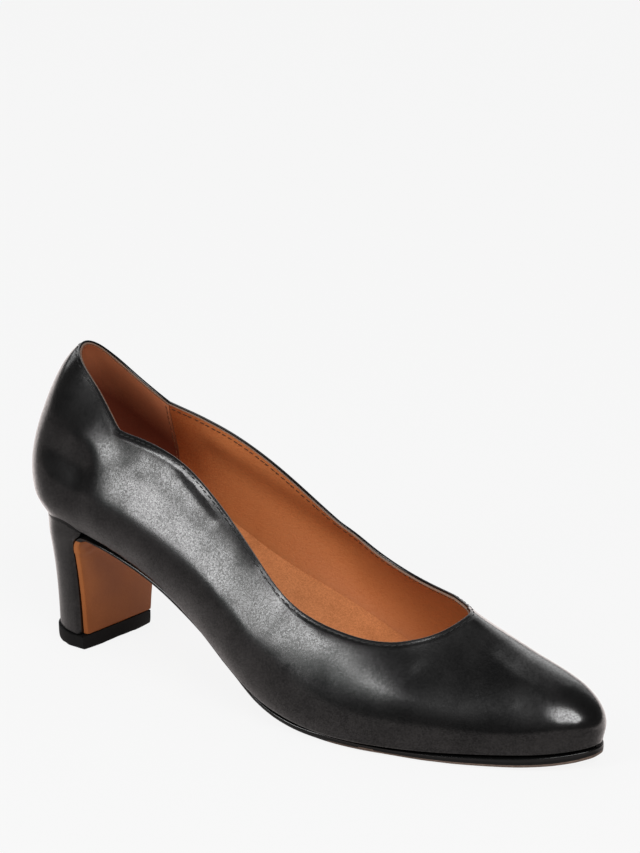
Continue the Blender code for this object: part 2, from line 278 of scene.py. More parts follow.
# %% [markdown]
# ## Surface effects shared by the finishes
# Leather is never even: it has a grain of small rounded cells, scattered pores, cloudy patches
# where it took more or less finish, and fine wrinkles where it was pulled over the last. Each
# effect is a node group that gives out a plain value, so every leather can use it at its own scale.


# %% Grain, clouds and wrinkles
CELL_WANDER = 0.9
CELL_SHARE = 0.7
TOOTH_SHARE = 0.3


def new_group(name, outputs):
    """Empty shader group with a place, a fineness and the named value outputs."""
    group = bpy.data.node_groups.new(name, "ShaderNodeTree")
    group.interface.new_socket("Vector", in_out="INPUT", socket_type="NodeSocketVector")
    group.interface.new_socket("Per Metre", in_out="INPUT", socket_type="NodeSocketFloat")
    for label in outputs:
        group.interface.new_socket(label, in_out="OUTPUT", socket_type="NodeSocketFloat")
    start = group.nodes.new("NodeGroupInput").outputs
    scaled = add(group, "ShaderNodeVectorMath", operation="SCALE")
    feed(group, scaled, Vector=start["Vector"], Scale=start["Per Metre"])
    return group, scaled.outputs["Vector"], group.nodes.new("NodeGroupOutput")


def make_grain():
    """Small rounded cells with a finer tooth on them, and scattered pores."""
    group, place, end = new_group("leather grain", ["Height", "Pores", "Sparkle"])
    wander = feed(group, add(group, "ShaderNodeTexNoise"), Vector=place, Scale=0.7, Detail=2.0)
    moved = add(group, "ShaderNodeVectorMath", operation="MULTIPLY_ADD")
    group.links.new(wander.outputs["Color"], moved.inputs[0])
    moved.inputs[1].default_value = (CELL_WANDER,) * 3
    group.links.new(place, moved.inputs[2])
    cells = add(group, "ShaderNodeTexVoronoi", feature="SMOOTH_F1")
    feed(group, cells, Vector=moved.outputs["Vector"], Scale=1.0, Smoothness=0.35)
    tooth = feed(group, add(group, "ShaderNodeTexNoise"), Vector=place, Scale=2.6, Detail=3.0)
    domes = calc(group, "MULTIPLY", calc(group, "SUBTRACT", 1.0, cells.outputs["Distance"]), CELL_SHARE)
    height = calc(group, "ADD", domes, calc(group, "MULTIPLY", tooth.outputs["Fac"], TOOTH_SHARE))
    holes = feed(group, add(group, "ShaderNodeTexVoronoi"), Vector=moved.outputs["Vector"], Scale=0.4)
    facets = feed(group, add(group, "ShaderNodeTexVoronoi"), Vector=place, Scale=1.7)
    group.links.new(facets.outputs["Color"], end.inputs["Sparkle"])
    group.links.new(height, end.inputs["Height"])
    group.links.new(remap(group, holes.outputs["Distance"], 0.05, 0.18, 1, 0), end.inputs["Pores"])
    return group


def make_clouds():
    """Slow cloudy patches from 0 to 1."""
    group, place, end = new_group("finish clouds", ["Value"])
    noise = feed(group, add(group, "ShaderNodeTexNoise"), Vector=place, Scale=1.0, Detail=4.0)
    group.links.new(remap(group, noise.outputs["Fac"], 0.3, 0.7, 0, 1), end.inputs["Value"])
    return group


def make_wrinkles():
    """Short fine wrinkles, as ridges where a wandering noise crosses its middle."""
    group, place, end = new_group("pulled wrinkles", ["Height"])
    noise = feed(group, add(group, "ShaderNodeTexNoise"), Vector=place, Scale=1.0, Detail=3.0)
    feed(group, noise, Distortion=0.6)
    away = calc(group, "ABSOLUTE", calc(group, "SUBTRACT", noise.outputs["Fac"], 0.5), 0.0)
    group.links.new(remap(group, away, 0.0, 0.07, 0, 1), end.inputs["Height"])
    return group


GRAIN = make_grain()
CLOUDS = make_clouds()
WRINKLES = make_wrinkles()
print("effects:", [group.name for group in (GRAIN, CLOUDS, WRINKLES)])

# %% [markdown]
# ## Leathers
# One function makes every leather of the shoe. Colour and gloss drift with the clouds, pores are a
# little darker, and the grain and wrinkles become a bump whose depth is a real depth in metres.
# Some also take painted light or shade: their colour runs from deep to pale across the piece.
# The black ones are waxed: a clear coat that is broken up by the grain. What stays the same all over,
# such as the specular level, is set on the shader itself.

# %% Leather finishes
Fade = namedtuple("Fade", "direction start end")
Leather = namedtuple(
    "Leather", "deep pale rough_low rough_high cells grain wrinkles wrinkle_depth clouding speckle waves")
CLOUDS_PER_METRE = 90
WRINKLE_STRETCH = (0.55, 1, 1.25)
PORE_SHARE = 0.5
WAX_CLOUDING = 0.4
WAX_BREAKS = (0.3, 1.1)
WAX_LEAST = 0.1
WAX_ROUGHNESS = 0.20


def place_effect(tree, group, vector, per_metre):
    """Group node of an effect at its own fineness."""
    node = add(tree, "ShaderNodeGroup", node_tree=group)
    return feed(tree, node, Vector=vector, Per_Metre=per_metre).outputs


def stretch(tree, vector, scale):
    """Coordinates scaled apart, so that a pattern runs longer one way."""
    node = feed(tree, add(tree, "ShaderNodeMapping"), Vector=vector, Scale=scale)
    return node.outputs["Vector"]


def leather(name, look, specular, coat=0.0, painted_light=None):
    """Leather with clouded colour and gloss, pores, grain and wrinkles, and painted light or shade that runs
    its colour from deep to pale across a piece.
    """
    material = bpy.data.materials.new(name)
    material.use_nodes = True
    tree = material.node_tree
    shader = tree.nodes["Principled BSDF"]
    place = add(tree, "ShaderNodeTexCoord").outputs["Object"]
    clouds = place_effect(tree, CLOUDS, place, CLOUDS_PER_METRE)["Value"]
    grain = place_effect(tree, GRAIN, place, look.cells)
    drawn = stretch(tree, place, WRINKLE_STRETCH)
    wrinkles = place_effect(tree, WRINKLES, drawn, look.wrinkles)["Height"]
    tone = add(tree, "ShaderNodeMix", data_type="RGBA")
    colours = [socket for socket in tone.inputs if socket.type == "RGBA"]
    colours[0].default_value = (*look.deep, 1)
    colours[1].default_value = (*look.pale, 1)
    drift = remap(tree, clouds, 0, 1, 0.5 - look.clouding, 0.5 + look.clouding)
    # Painted light and shade: the colour is pushed from deep towards pale along one direction across the
    # piece.
    if painted_light:
        along = feed(tree, add(tree, "ShaderNodeVectorMath", operation="DOT_PRODUCT"), Vector=place)
        along.inputs[1].default_value = painted_light.direction
        painted_shift = remap(tree, along.outputs["Value"], painted_light.start, painted_light.end, -0.5, 0.5)
        drift = calc(tree, "ADD", drift, painted_shift)
    pores = calc(tree, "MULTIPLY", grain["Pores"], PORE_SHARE * look.clouding)
    pitted = calc(tree, "SUBTRACT", drift, pores)
    specks = remap(tree, grain["Sparkle"], 0, 1, -look.speckle, look.speckle)
    tree.links.new(calc(tree, "ADD", pitted, specks), tone.inputs["Factor"])
    gloss = remap(tree, clouds, 0, 1, look.rough_low, look.rough_high)
    fine = add(tree, "ShaderNodeBump")
    feed(tree, fine, Height=grain["Height"], Distance=look.grain, Strength=1.0)
    folds = add(tree, "ShaderNodeBump")
    feed(tree, folds, Height=wrinkles, Distance=look.wrinkle_depth, Strength=1.0)
    feed(tree, folds, Normal=fine.outputs["Normal"])
    waves = add(tree, "ShaderNodeBump")
    feed(tree, waves, Height=clouds, Distance=look.waves, Strength=1.0, Normal=folds.outputs["Normal"])
    mixed = [socket for socket in tone.outputs if socket.type == "RGBA"][0]
    feed(tree, shader, Base_Color=mixed, Roughness=gloss, Normal=waves.outputs["Normal"])
    feed(tree, shader, Specular_IOR_Level=specular)
    if coat:
        broken = calc(tree, "ADD", grain["Sparkle"], calc(tree, "MULTIPLY", clouds, WAX_CLOUDING))
        wax = remap(tree, broken, *WAX_BREAKS, WAX_LEAST * coat, coat)
        feed(tree, shader, Coat_Weight=wax, Coat_Roughness=WAX_ROUGHNESS)
    return material


BLACK = (0.0022, 0.0022, 0.0023)
WORN_BLACK = (0.0036, 0.0034, 0.0034)
BLACK_CALF = leather(
    "black calf",
    Leather(BLACK, WORN_BLACK, 0.22, 0.26, 1500, 0.010 * MM, 420, 0.003 * MM, 0.5, 0.2, 0.05 * MM),
    specular=0.25, coat=1.0)
BLACK_HEEL = leather(
    "black heel cover",
    Leather(BLACK, WORN_BLACK, 0.20, 0.25, 1700, 0.003 * MM, 160, 0.001 * MM, 0.5, 0.2, 0.005 * MM),
    specular=0.35, coat=0.8)
# The lining darkens towards the back of the shoe: painted shade where the heel end lies deep in shadow.
TAN_LINING = leather(
    "tan lining",
    Leather((0.24, 0.039, 0.0068), (0.42, 0.138, 0.044), 0.50, 0.60, 1300, 0.045 * MM,
            420, 0.030 * MM, 0.06, 0.22, 0.05 * MM),
    specular=0.25, painted_light=Fade((1, 0, 0), -88 * MM, -52 * MM))
# The grip darkens lower down and further back: painted shade deep inside the heel.
TAN_SUEDE = leather(
    "tan suede",
    Leather((0.12, 0.025, 0.012), (0.44, 0.155, 0.070), 0.80, 0.92, 2600, 0.030 * MM,
            200, 0.010 * MM, 0.04, 0.08, 0.02 * MM),
    specular=0.1, painted_light=Fade((0.8, 0, 1), 5 * MM, 26 * MM))
TAN_SOCK = leather(
    "tan sock",
    Leather((0.24, 0.078, 0.024), (0.60, 0.230, 0.087), 0.50, 0.60, 1500, 0.018 * MM,
            300, 0.006 * MM, 0.10, 0.28, 0.02 * MM),
    specular=0.25)
# The sole leather grows paler towards the top and inner side of the flap: painted light where the seat above
# shades it.
SOLE_LEATHER = leather(
    "tan sole leather",
    Leather((0.22, 0.066, 0.018), (0.42, 0.150, 0.048), 0.45, 0.55, 1900, 0.006 * MM,
            90, 0.003 * MM, 0.10, 0.10, 0.01 * MM),
    specular=0.15, painted_light=Fade((0, 0.6, 1), 0, 55 * MM))
print("leathers:", [m.name for m in (BLACK_CALF, BLACK_HEEL, TAN_LINING, TAN_SUEDE, TAN_SOCK, SOLE_LEATHER)])


# %% [markdown]
# ## Paint, rubber and thread
# The sole edge is painted black and waxed, with a polished bead along its corners. The fold of the
# topline takes a pale grey, a painted highlight of its rounded top; the lining and the grip show raw
# cut edges, the top piece is matt moulded rubber, and the seams are sewn with a twisted thread. They
# need less than the leathers: one effect each, still uneven enough not to look like plastic.

# %% Plain finishes
def plain_finish(name, deep, pale, rough_low, rough_high, per_metre, depth, specular=0.5):
    """Finish with one fine tooth that moves its colour, gloss and surface."""
    material = bpy.data.materials.new(name)
    material.use_nodes = True
    tree = material.node_tree
    shader = tree.nodes["Principled BSDF"]
    place = add(tree, "ShaderNodeTexCoord").outputs["Object"]
    clouds = place_effect(tree, CLOUDS, place, per_metre)["Value"]
    ramp = add(tree, "ShaderNodeValToRGB")
    ramp.color_ramp.elements[0].color = (*deep, 1)
    ramp.color_ramp.elements[1].color = (*pale, 1)
    tree.links.new(clouds, ramp.inputs["Fac"])
    gloss = remap(tree, clouds, 0, 1, rough_low, rough_high)
    tooth = feed(tree, add(tree, "ShaderNodeBump"), Height=clouds, Distance=depth, Strength=1.0)
    feed(tree, shader, Base_Color=ramp.outputs["Color"], Roughness=gloss, Normal=tooth.outputs["Normal"])
    feed(tree, shader, Specular_IOR_Level=specular)
    return material


BLACK_EDGE = plain_finish(
    "black waxed edge", (0.002,) * 3, (0.004,) * 3, 0.30, 0.40, 700, 0.003 * MM, 0.25)
EDGE_BEAD = plain_finish(
    "polished edge bead", (0.002,) * 3, (0.004,) * 3, 0.14, 0.20, 700, 0.001 * MM, 0.4)
# Pale grey on the rounded fold of the topline: a painted highlight.
FOLD_HIGHLIGHT = plain_finish(
    "painted fold highlight", (0.10, 0.097, 0.094), (0.17, 0.165, 0.16), 0.55, 0.65, 900, 0.003 * MM, 0.15)
SUEDE_EDGE = plain_finish(
    "suede edge", (0.08, 0.028, 0.013), (0.13, 0.047, 0.022), 0.8, 0.9, 2500, 0.01 * MM, 0.1)
RAW_EDGE = plain_finish(
    "raw lining edge", (0.10, 0.058, 0.038), (0.17, 0.105, 0.074), 0.7, 0.8, 2500, 0.01 * MM)
RUBBER = plain_finish("black rubber", (0.003,) * 3, (0.005,) * 3, 0.50, 0.60, 2200, 0.003 * MM, 0.12)
BLACK_THREAD = plain_finish("black thread", (0.006,) * 3, (0.012,) * 3, 0.5, 0.65, 5000, 0.02 * MM, 0.2)
TAN_THREAD = plain_finish(
    "tan thread", (0.045, 0.016, 0.007), (0.10, 0.038, 0.016), 0.6, 0.7, 5000, 0.02 * MM, 0.2)
SUEDE_THREAD = plain_finish(
    "suede thread", (0.10, 0.032, 0.014), (0.19, 0.07, 0.03), 0.6, 0.7, 5000, 0.02 * MM, 0.2)
print("plain finishes are ready")


# %% [markdown]
# ## Working on copies of the solids
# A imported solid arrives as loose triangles. A copy is welded and its triangles are paired into
# quads again, because quads subdivide into smooth, even surfaces. A sheet of it, such as the outer
# skin of the upper, can then be picked out: edges sharper than an angle are marked as seams, and
# a linked selection grows from one face until it meets them.

# %% Copy, pick and finish
WELD = 0.01 * MM
RIM_ANGLE = math.radians(60)
CORNER_ANGLE = math.radians(50)
SMOOTH_ANGLE = math.radians(40)


def only(piece):
    """Make one object the selected and active one."""
    bpy.ops.object.select_all(action="DESELECT")
    piece.select_set(True)
    bpy.context.view_layer.objects.active = piece


def edit(piece, mode="FACE"):
    """Enter edit mode on one piece."""
    only(piece)
    bpy.ops.object.mode_set(mode="EDIT")
    bpy.ops.mesh.select_mode(type=mode)


def done():
    """Leave edit mode."""
    bpy.ops.object.mode_set(mode="OBJECT")


def copy_solid(node, name):
    """Copy of a solid as one welded mesh of quads, free of its body."""
    only(frame["nodes"][node])
    bpy.ops.object.duplicate()
    piece = bpy.context.active_object
    bpy.ops.object.parent_clear(type="CLEAR_KEEP_TRANSFORM")
    piece.name = name
    piece.data.name = name
    piece.data.materials.clear()
    del piece["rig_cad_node"]
    edit(piece)
    bpy.ops.mesh.select_all(action="SELECT")
    bpy.ops.mesh.customdata_custom_splitnormals_clear()
    bpy.ops.mesh.remove_doubles(threshold=WELD)
    bpy.ops.mesh.select_mode(type="EDGE")
    bpy.ops.mesh.select_all(action="DESELECT")
    bpy.ops.mesh.edges_select_sharp(sharpness=CORNER_ANGLE)
    bpy.ops.mesh.mark_sharp()
    bpy.ops.mesh.select_mode(type="FACE")
    bpy.ops.mesh.select_all(action="SELECT")
    bpy.ops.mesh.tris_convert_to_quads(face_threshold=math.pi, shape_threshold=math.pi, sharp=True)
    bpy.ops.mesh.mark_sharp(clear=True)
    done()
    return piece


def copy_piece(source, name):
    """Copy of a finished or half-finished piece."""
    only(source)
    bpy.ops.object.duplicate()
    piece = bpy.context.active_object
    piece.name = name
    piece.data.name = name
    return piece


def select_sheet(piece, seed):
    """Select the faces that join the seed face without crossing a sharp edge."""
    edit(piece, "EDGE")
    bpy.ops.mesh.select_all(action="DESELECT")
    bpy.ops.mesh.edges_select_sharp(sharpness=RIM_ANGLE)
    bpy.ops.mesh.mark_seam(clear=False)
    bpy.ops.mesh.select_all(action="DESELECT")
    bpy.ops.mesh.select_mode(type="FACE")
    done()
    piece.data.polygons[seed].select = True
    edit(piece)
    bpy.ops.mesh.select_linked(delimit={"SEAM"})


def keep_sheet(piece, seed):
    """Keep one sheet of a solid and delete the rest."""
    select_sheet(piece, seed)
    bpy.ops.mesh.select_all(action="INVERT")
    bpy.ops.mesh.delete(type="FACE")
    done()
    return piece


def modify(piece, kind, **settings):
    """Add a modifier and apply it."""
    only(piece)
    modifier = piece.modifiers.new(kind.lower(), kind)
    for key, value in settings.items():
        setattr(modifier, key, value)
    bpy.ops.object.modifier_apply(modifier=modifier.name)


def refine(piece, levels):
    """Smooth subdivision, the same in view and render."""
    modify(piece, "SUBSURF", levels=levels, render_levels=levels)


def read_mesh(piece, what):
    """Vertex places ("co") or normals ("normal") as rows of numbers."""
    rows = np.empty(3 * len(piece.data.vertices))
    piece.data.vertices.foreach_get(what, rows)
    return rows.reshape(-1, 3)


def write_mesh(piece, places):
    """Put the vertices at new places."""
    piece.data.vertices.foreach_set("co", places.ravel())
    piece.data.update()


def finish_piece(piece):
    """Shade the piece, let it ride on the shoe and print how many triangles it has."""
    only(piece)
    bpy.ops.object.shade_smooth_by_angle(angle=SMOOTH_ANGLE)
    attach(piece, "root")
    triangles = sum(len(face.vertices) - 2 for face in piece.data.polygons)
    print(f"{piece.name}: {triangles} triangles")


print("mesh helpers are ready; corners are edges over", round(math.degrees(CORNER_ANGLE)), "degrees")

# %% [markdown]
# ## Soft creases
# Worn or new, a leather upper isn't a perfect form: it dips softly under the topline where nothing
# stiffens it, swells over the front of the heel counter and keeps a faint wave across the vamp.
# Each crease is a line drawn on the outer (-1) or inner (1) side of the shoe, in millimetres from the
# back and the floor, with a depth and a width; a minus depth is a ridge. The lines were drawn, then
# the outer ones were tuned by a fit until the highlights fell in place. Upper and lining move as one.

# %% Creases
Crease = namedtuple("Crease", "name side start end depth width")
CREASES = [
    Crease("swell over the heel counter", -1, (36.3, 83.2), (52.5, 74), -1.47, 11.0),
    Crease("swell along the quarter", -1, (49.3, 63.1), (99.9, 44.4), -2.45, 12.8),
    Crease("hollow under the outer topline", -1, (64.3, 75), (103.6, 51), 1.46, 14.6),
    Crease("dent before the counter", -1, (50.6, 72.2), (50.6, 70.2), 1.83, 10.8),
    Crease("swell of the little toe joint", -1, (117.8, 32.6), (157, 37.5), -1.52, 14.9),
    Crease("flat of the tread", -1, (152.8, 28.6), (159.8, 28.3), 1.28, 15.4),
    Crease("fall of the heel back", -1, (19.8, 75.9), (32.1, 74.2), 2.05, 7.8),
    Crease("fall of the upper counter", -1, (25, 101), (23.2, 87.5), 0.80, 8.4),
    Crease("slack by the topline", -1, (62.8, 93.6), (79.4, 82.4), 1.13, 7.9),
    Crease("slack along the topline", -1, (74.9, 83.9), (100, 74.3), 0.36, 5.7),
    Crease("slack before the waist", -1, (87.4, 75.2), (115.3, 58.2), 0.46, 5.7),
    Crease("fold by the topline", -1, (78, 78.5), (94.5, 67.5), 0.12, 1.6),
    Crease("flare of the vamp edge", -1, (130, 45.3), (160.8, 38.3), -0.40, 5.8),
    Crease("flat beside the toe", -1, (179.9, 38.4), (211.5, 20.6), 1.07, 10.5),
    Crease("hollow of the vamp", -1, (162, 32.7), (194.6, 30.8), 0.32, 8.1),
    Crease("ridge under the notch", -1, (49.7, 75.9), (61.2, 78.5), -0.27, 4.1),
    Crease("ridge across the vamp", -1, (150.3, 38.4), (174.8, 31.4), -0.28, 3.8),
    Crease("line along the waist", -1, (95.6, 53.7), (125.5, 35.1), 0.14, 3.9),
    Crease("padding under the inner topline", 1, (58, 77), (112, 55), 0.7, 5.0),
    Crease("recess of the inner quarter", 1, (58, 68), (117, 44), -0.7, 6.0),
    Crease("dent before the inner counter", 1, (48, 80), (53, 64), 0.30, 4.5),
]
SIDE_FADE = 4 * MM
MARGIN_TURN = -0.85
MARGIN_FADE = 0.4


def stations(places):
    """Distance of each place from the back of the shoe."""
    return places[:, 0] - cad_low.x


def crease_depth(places, normals):
    """How far each point sinks towards the foot; the turned-under margin stays flat."""
    sink = np.zeros(len(places))
    flat = np.stack([stations(places), places[:, 2]], axis=1) / MM
    for crease in CREASES:
        start, end = np.array(crease.start), np.array(crease.end)
        run = end - start
        share = np.clip((flat - start) @ run / (run @ run), 0, 1)
        away = np.linalg.norm(flat - start - share[:, None] * run, axis=1)
        on_side = np.clip(places[:, 1] * crease.side / SIDE_FADE, 0, 1)
        sink += crease.depth * MM * on_side * np.exp(-(away / crease.width) ** 2)
    return sink * np.clip((normals[:, 2] - MARGIN_TURN) / MARGIN_FADE, 0, 1)


print("creases:", [crease.name for crease in CREASES])


# %% [markdown]
# ## Outer skin
# The black upper is one skin, folded over at the topline and sewn down just below the fold. It
# could be remodelled from nothing, but its solid already has the true shape of the last. So the
# outer skin is kept, a narrow hem is inset along its border, and it is subdivided, with the corners
# of the notches kept crisp. The topline is read back, because hem, lining and stitches follow it.

# %% Outer skin
HEM = 1.4 * MM
NOTCH_TURN = math.radians(14)
NOTCH_BEHIND = 60 * MM
NOTCH_BELOW = 95 * MM
NOTCH_CRISP = 0.8


def border_line(piece):
    """Ordered points and normals of the highest open border of a sheet."""
    work = bmesh.new()
    work.from_mesh(piece.data)
    work.normal_update()
    work.verts.index_update()
    left = {v.index: v for v in work.verts if v.is_boundary}
    loops = []
    while left:
        loop = [left.pop(min(left))]
        while loop[-1] is not None:
            ends = [e.other_vert(loop[-1]) for e in loop[-1].link_edges if e.is_boundary]
            loop.append(next((left.pop(v.index) for v in ends if v.index in left), None))
        loops.append(loop[:-1])
    top = max(loops, key=lambda loop: max(v.co.z for v in loop))
    rows = [(v.index, *v.co, *v.normal) for v in top]
    work.free()
    rows = np.array(rows)
    return rows[:, 0].astype(int), rows[:, 1:4], rows[:, 4:7]


def sharpen_notches(piece):
    """Keep the corner of the topline on each side crisp when the sheet is subdivided."""
    index, points, _ = border_line(piece)
    step = np.roll(points, -1, axis=0) - points
    step /= np.linalg.norm(step, axis=1)[:, None]
    turn = np.arccos(np.clip(np.sum(step * np.roll(step, 1, axis=0), axis=1), -1, 1))
    behind = points[:, 0] < points[:, 0].min() + NOTCH_BEHIND
    corner = behind & (turn > NOTCH_TURN) & (points[:, 2] < NOTCH_BELOW)
    crease = piece.data.attributes.new("crease_vert", "FLOAT", "POINT")
    for i in index[corner]:
        crease.data[i].value = NOTCH_CRISP
    print("corners kept at the notches:", int(corner.sum()))


upper = copy_solid("upper", "upper_leather")
keep_sheet(upper, min(upper.data.polygons, key=lambda face: face.center.y).index)
edit(upper)
bpy.ops.mesh.select_all(action="SELECT")
bpy.ops.mesh.inset(thickness=HEM, use_boundary=True)
done()
sharpen_notches(upper)
refine(upper, 2)
_, topline, _ = border_line(upper)
print("points on the topline:", len(topline))

# %% [markdown]
# ## How the leather settles
# An upper pulled over a last doesn't lie just where it was drawn. The back fills out over the
# counter, the inner side of the vamp falls away, the toe is drawn forward and the tip of the throat is
# pulled round. The folded edge leans in towards the foot, most of all on the outer side. Each is a
# smooth shift worked out from where a point lies, so the lining can take the same ones.

# %% Settling
BACK_AT = np.array([46, 51, 57, 63, 73, 81, 87, 95, 104, 108, 112]) * MM
BACK_FULL = np.array([0, 1.0, 1.5, 1.2, 1.0, 0.8, 0.65, 0.85, 1.25, 1.1, 0.5]) * MM
BACK_REACH = (18 * MM, 36 * MM)
BACK_INNER = 10 * MM
BACK_FADE = 12 * MM
VAMP_FALL = 1.7 * MM
VAMP_FROM = -10 * MM
VAMP_WIDE = 19 * MM
VAMP_AT = np.array([168, 180, 206, 224]) * MM
VAMP_FEET = 9 * MM
TOE_REACH = 0.55 * MM
TOE_FROM = 205 * MM
THROAT_BACK = 2.2 * MM
THROAT_REACH = 3.4 * MM
THROAT_ALONG = np.array([-0.80, -0.60, 0])
LEAN_AT = np.array([0, 30, 48, 60, 72, 86, 100, 112, 130]) * MM
OUTER_LEAN = np.array([0.2, 0.8, 1.3, 1.3, 1.25, 1.25, 1.0, 0.35, 0.1]) * MM
INNER_LEAN = 0.2 * MM
LEAN_SIDE = (5 * MM, 15 * MM)
LEAN_WIDTH = 2.6 * MM


def toe_reach(places):
    """How far the tip of the toe is drawn forward."""
    room_ahead = cad_high.x - cad_low.x - TOE_FROM
    return TOE_REACH * np.clip((stations(places) - TOE_FROM) / room_ahead, 0, 1)


def settle(places, out):
    """Shift of each point: fuller back, lower inner vamp, longer toe, rounded throat."""
    station, height = stations(places), places[:, 2]
    full = np.interp(height, BACK_AT, BACK_FULL) * np.interp(station, BACK_REACH, (1, 0))
    full *= np.clip((BACK_INNER - places[:, 1]) / BACK_FADE, 0, 1)
    inner = np.clip((places[:, 1] - VAMP_FROM) / VAMP_WIDE, 0, 1)
    fall = VAMP_FALL * inner * inner * (3 - 2 * inner) * np.interp(station, VAMP_AT, (0, 1, 1, 0))
    fall *= np.clip(height / VAMP_FEET - 1, 0, 1)
    shift = out * full[:, None] - np.outer(fall, (0, 0, 1)) + np.outer(toe_reach(places), (1, 0, 0))
    tip = topline[np.argmin(topline @ THROAT_ALONG)]
    back = THROAT_BACK * np.exp(-np.linalg.norm(places - tip, axis=1) / THROAT_REACH)
    along = THROAT_ALONG - out * (out @ THROAT_ALONG)[:, None]
    return shift + along * back[:, None]


def distance_to(places, line):
    """Distance of each place to the nearest point of a closed line."""
    step = np.roll(line, -1, axis=0) - line
    fine = np.concatenate([line + step * share for share in (0, 0.25, 0.5, 0.75)])
    return np.array([np.min(np.sum((fine - p) ** 2, axis=1)) for p in places]) ** 0.5


def lean_in(places):
    """How far the folded edge leans towards the foot, most of all on the outer side."""
    outer = np.interp(-places[:, 1], LEAN_SIDE, (0, 1))
    lean = INNER_LEAN + (np.interp(stations(places), LEAN_AT, OUTER_LEAN) - INNER_LEAN) * outer
    return lean * np.clip(1 - distance_to(places, topline) / LEAN_WIDTH, 0, 1) ** 2


places, out = read_mesh(upper, "co"), read_mesh(upper, "normal")
settled = settle(places, out)
print("settles by up to mm:", round(np.linalg.norm(settled, axis=1).max() / MM, 2))

# %% [markdown]
# ## Upper
# Now the skin is moved once, by all that acts on it: the creases, the settling, the leaning edge, a
# sunken sewing line along the hem, and a little fullness where it turns under to the sole. A solidify
# gives it the thickness of calf leather. The bevel of its rim takes a second finish, a pale grey that
# paints the highlight of the rounded fold, but only where it looks out: the faces turned to the foot
# stay black.

# %% Upper leather
LEATHER = 0.8 * MM
SEWING_SINK = 0.10 * MM
SEWING_WIDTH = 0.35 * MM
FEATHER_PUSH = 0.55 * MM
FEATHER_TURN = -0.6
FEATHER_SOFT = 0.25
FEATHER_AT = np.array([30, 50, 130, 160]) * MM
FOLD_BEVEL = 0.36 * MM

sewn = SEWING_SINK * np.exp(-((distance_to(places, topline) - HEM) / SEWING_WIDTH) ** 2)
pulled = FEATHER_PUSH * np.exp(-((out[:, 2] - FEATHER_TURN) / FEATHER_SOFT) ** 2)
pulled *= np.interp(stations(places), FEATHER_AT, (1, 0, 0, 1))
moved = out * (pulled - lean_in(places) - sewn - crease_depth(places, out))[:, None]
write_mesh(upper, places + moved + settled)
upper_skin = copy_piece(upper, "upper_skin")
modify(upper, "SOLIDIFY", thickness=LEATHER, offset=-1, use_even_offset=True)
upper.data.materials.append(BLACK_CALF)
# The rim's bevel takes the painted highlight of the fold as its second finish.
upper.data.materials.append(FOLD_HIGHLIGHT)
modify(upper, "BEVEL", width=FOLD_BEVEL, segments=2, limit_method="ANGLE", angle_limit=RIM_ANGLE, material=1)
for face in upper.data.polygons:
    if face.material_index == 1 and face.normal.y * face.center.y < 0:
        face.material_index = 0
finish_piece(upper)


# %% [markdown]
# ## Lining and heel grip
# Inside, a thinner tan leather lines the upper and stops just short of the fold, with a raw cut
# edge. Behind the notches a suede grip lies on it, which keeps the heel from slipping. Both come
# from the inner skin of the same solid; the grip is cut off with a bisect through the two notches.

# %% Lining
LINING = 0.7 * MM
LINING_DROP = 0.3 * MM
FACES_IN = 0.8

lining = copy_solid("upper", "lining")
inner_face = max(
    (face for face in lining.data.polygons if face.normal.y > FACES_IN and face.center.x > 0),
    key=lambda face: -face.center.y,
)
keep_sheet(lining, inner_face.index)
edit(lining)
bpy.ops.mesh.select_all(action="SELECT")
bpy.ops.mesh.inset(thickness=LINING_DROP, use_boundary=True)
bpy.ops.mesh.select_all(action="INVERT")
bpy.ops.mesh.delete(type="FACE")
done()
sharpen_notches(lining)
refine(lining, 2)
places, into = read_mesh(lining, "co"), read_mesh(lining, "normal")
moved = into * (crease_depth(places, -into) + lean_in(places))[:, None]
write_mesh(lining, places + moved + settle(places, -into))
lining_skin = copy_piece(lining, "lining_skin")
grip = copy_piece(lining, "heel_grip")
lining.data.materials.append(TAN_LINING)
lining.data.materials.append(RAW_EDGE)
modify(lining, "SOLIDIFY", thickness=LINING, offset=-1, use_even_offset=True, material_offset_rim=1)
finish_piece(lining)

# %% Heel grip
GRIP = 0.6 * MM
GRIP_PROUD = 0.35 * MM
OUTER_NOTCH = Vector((-69.5, -19.6, 0)) * MM
INNER_NOTCH = Vector((-76.5, 20.4, 0)) * MM
across = INNER_NOTCH - OUTER_NOTCH
forward = Vector((across.y, -across.x, 0)).normalized()

edit(grip)
bpy.ops.mesh.select_all(action="SELECT")
bpy.ops.mesh.bisect(plane_co=OUTER_NOTCH, plane_no=forward, clear_outer=True)
done()
modify(grip, "DISPLACE", strength=GRIP_PROUD, mid_level=0)
grip_skin = copy_piece(grip, "grip_skin")
grip.data.materials.append(TAN_SUEDE)
grip.data.materials.append(SUEDE_EDGE)
modify(grip, "SOLIDIFY", thickness=GRIP, offset=-1, use_even_offset=True, material_offset_rim=1)
finish_piece(grip)


# %% [markdown]
# ## Stitches
# A lockstitch runs round the topline, black outside and tan inside, and the front edge of the grip
# is sewn to the lining. One stitch is a small sphere drawn out into a grain of rice. It is copied
# along a line at an even pitch, each copy laid into the surface below the edge.

# %% One stitch
STITCH_PITCH = 2.5 * MM
STITCH_LONG = 2.0 * MM
STITCH_WIDE = 0.50 * MM
STITCH_HIGH = 0.40 * MM
STITCH_SKEW = math.radians(5)

bpy.ops.object.select_all(action="DESELECT")
bpy.ops.mesh.primitive_uv_sphere_add(segments=8, ring_count=6, radius=0.5)
pattern = bpy.context.active_object
pattern.name = "stitch_pattern"
bpy.ops.transform.resize(value=(STITCH_WIDE, STITCH_HIGH, STITCH_LONG))
bpy.ops.object.transform_apply(scale=True)
stitch_shape = read_mesh(pattern, "co")
stitch_faces = [tuple(face.vertices) for face in pattern.data.polygons]
bpy.data.objects.remove(pattern)
print("faces in a stitch:", len(stitch_faces))


